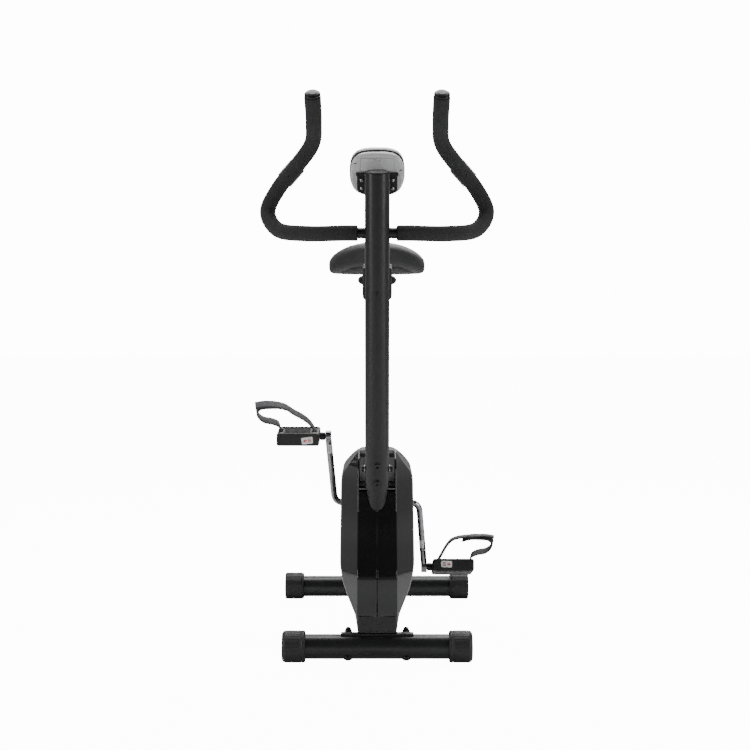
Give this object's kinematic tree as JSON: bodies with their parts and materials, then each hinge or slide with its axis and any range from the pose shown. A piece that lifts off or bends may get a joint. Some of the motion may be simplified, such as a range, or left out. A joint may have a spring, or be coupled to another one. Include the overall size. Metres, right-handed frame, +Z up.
{
  "type": "exercise bike",
  "caption": "Upright magnetic exercise bike with a glossy drive housing, cranked handlebar, small console, strapped pedals and a height-adjustable padded saddle.",
  "frame": {"origin": "on the floor, in the middle of the bike's width and length", "axes": "+Z up, +X to the rider's left, the rider faces -Y"},
  "size_m": [0.5424, 0.7902, 1.1779],
  "materials": {
    "satin_steel": "satin black powder coat",
    "housing_plastic": "high gloss black",
    "black_plastic": "fine textured black",
    "chrome": "polished",
    "black_bolt": "black oxide",
    "zinc": "zinc plated",
    "cast_iron": "machined rim",
    "foam": "matt closed-cell foam",
    "strap_rubber": "matt, fine ribs",
    "belt_rubber": "ribbed",
    "vinyl": "smooth matt vinyl",
    "silver_plastic": "silver grey moulded",
    "button_rubber": "matt",
    "lens": "clear over a grey-green display"
  },
  "bodies": {
    "bike": {"main_frame": "satin_steel", "front_stabilizer": "satin_steel", "rear_stabilizer": "satin_steel", "front_cap_left": "black_plastic", "front_cap_right": "black_plastic", "front_foot_bolt_left": "black_bolt", "front_foot_bolt_right": "black_bolt", "handlebar_post": "satin_steel", "post_cap": "black_plastic", "post_bolt_front_upper": "black_bolt", "post_bolt_front_lower": "black_bolt", "post_bolt_side_left": "black_bolt", "post_bolt_side_right": "black_bolt", "housing_left": "housing_plastic", "housing_right": "housing_plastic", "crank_cover_left": "black_plastic", "crank_cover_right": "black_plastic", "crank_bearing_left": "zinc", "crank_bearing_right": "zinc", "flywheel_axle": "zinc", "drive_belt": "belt_rubber", "handlebar_clamp": "satin_steel", "tension_box": "black_plastic", "tension_cable": "black_plastic", "console_back": "silver_plastic", "console_front": "silver_plastic", "display_lens": "lens", "seat_bushing": "black_plastic"},
    "rear_leveler_left": {"rear_cap_left": "black_plastic"},
    "rear_leveler_right": {"rear_cap_right": "black_plastic"},
    "crankset": {"crank": "chrome", "drive_pulley": "black_plastic", "pedal_spindle_left": "black_bolt", "pedal_spindle_right": "black_bolt"},
    "flywheel_body": {"flywheel": "cast_iron"},
    "magnet_carrier": {"magnet_bracket": "zinc"},
    "left_pedal": {"pedal_left": "black_plastic", "pedal_strap_left": "strap_rubber"},
    "right_pedal": {"pedal_right": "black_plastic", "pedal_strap_right": "strap_rubber"},
    "handlebar_body": {"handlebar": "satin_steel", "foam_grip_left": "foam", "foam_grip_right": "foam", "bar_end_cap_left": "black_plastic", "bar_end_cap_right": "black_plastic", "pulse_sensor_left": "chrome", "pulse_sensor_right": "chrome"},
    "clamp_screw": {"clamp_knob": "black_plastic"},
    "resistance_knob": {"tension_knob": "black_plastic"},
    "mode_button": {"button_mode": "button_rubber"},
    "set_button": {"button_set": "button_rubber"},
    "reset_button": {"button_reset": "button_rubber"},
    "battery_cover": {"battery_door": "silver_plastic"},
    "seat_mast": {"seat_post": "chrome", "seat_clamp": "satin_steel"},
    "seat_pin": {"pop_pin": "black_plastic"},
    "saddle": {"saddle_rails": "chrome", "saddle_base": "black_plastic", "saddle_pad": "vinyl"}
  },
  "joints": [
    {"name": "crank_spin", "type": "hinge", "parent": "bike", "child": "crankset", "pos_m": [0, -0.01154, 0.288], "axis": [1, 0, 0], "continuous": true},
    {"name": "flywheel_spin", "type": "hinge", "parent": "bike", "child": "flywheel_body", "pos_m": [0, -0.11654, 0.21], "axis": [1, 0, 0], "continuous": true},
    {"name": "left_pedal_spin", "type": "hinge", "parent": "crankset", "child": "left_pedal", "pos_m": [0.174, 0.04218, 0.13199], "axis": [1, 0, 0], "continuous": true},
    {"name": "right_pedal_spin", "type": "hinge", "parent": "crankset", "child": "right_pedal", "pos_m": [-0.174, -0.06526, 0.44401], "axis": [1, 0, 0], "continuous": true},
    {"name": "seat_height", "type": "slide", "parent": "bike", "child": "seat_mast", "axis": [0, 0.2206, 0.9754], "range_m": [-0.14, 0.06]},
    {"name": "saddle_fore_aft", "type": "slide", "parent": "seat_mast", "child": "saddle", "axis": [0, 1, 0], "range_m": [-0.012, 0.012]},
    {"name": "seat_pin_pull", "type": "slide", "parent": "bike", "child": "seat_pin", "axis": [0, 1, 0], "range_m": [0, 0.012], "stiffness_N_per_m": 600},
    {"name": "handlebar_tilt", "type": "hinge", "parent": "bike", "child": "handlebar_body", "pos_m": [0, -0.30354, 0.886], "axis": [1, 0, 0], "range_deg": [-20, 20]},
    {"name": "clamp_knob_turn", "type": "hinge", "parent": "bike", "child": "clamp_screw", "pos_m": [0, -0.28154, 0.886], "axis": [0, 1, 0], "range_deg": [-90, 90]},
    {"name": "resistance_turn", "type": "hinge", "parent": "bike", "child": "resistance_knob", "pos_m": [0, -0.32166, 0.776], "axis": [0, 0.9781, 0.2079], "range_deg": [0, 300]},
    {"name": "magnet_swing", "type": "hinge", "parent": "bike", "child": "magnet_carrier", "pos_m": [0, -0.06054, 0.307], "axis": [-1, 0, 0], "range_deg": [0, 8]},
    {"name": "mode_press", "type": "slide", "parent": "bike", "child": "mode_button", "axis": [0, -0.866, -0.5], "range_m": [0, 0.0012], "stiffness_N_per_m": 400},
    {"name": "set_press", "type": "slide", "parent": "bike", "child": "set_button", "axis": [0, -0.866, -0.5], "range_m": [0, 0.0012], "stiffness_N_per_m": 400},
    {"name": "reset_press", "type": "slide", "parent": "bike", "child": "reset_button", "axis": [0, -0.866, -0.5], "range_m": [0, 0.0012], "stiffness_N_per_m": 400},
    {"name": "battery_cover_swing", "type": "hinge", "parent": "bike", "child": "battery_cover", "pos_m": [0, -0.34085, 1.00906], "axis": [1, 0, 0], "range_deg": [0, 34]},
    {"name": "left_leveler_turn", "type": "hinge", "parent": "bike", "child": "rear_leveler_left", "pos_m": [0.2045, 0.32846, 0.031], "axis": [1, 0, 0], "range_deg": [-30, 30]},
    {"name": "right_leveler_turn", "type": "hinge", "parent": "bike", "child": "rear_leveler_right", "pos_m": [-0.2045, 0.32846, 0.031], "axis": [1, 0, 0], "range_deg": [-30, 30]}
  ],
  "couplings": [
    {"joint": "flywheel_spin", "follows": "crank_spin", "ratio": 4.0932},
    {"joint": "magnet_swing", "follows": "resistance_turn", "ratio": 0.026667}
  ]
}
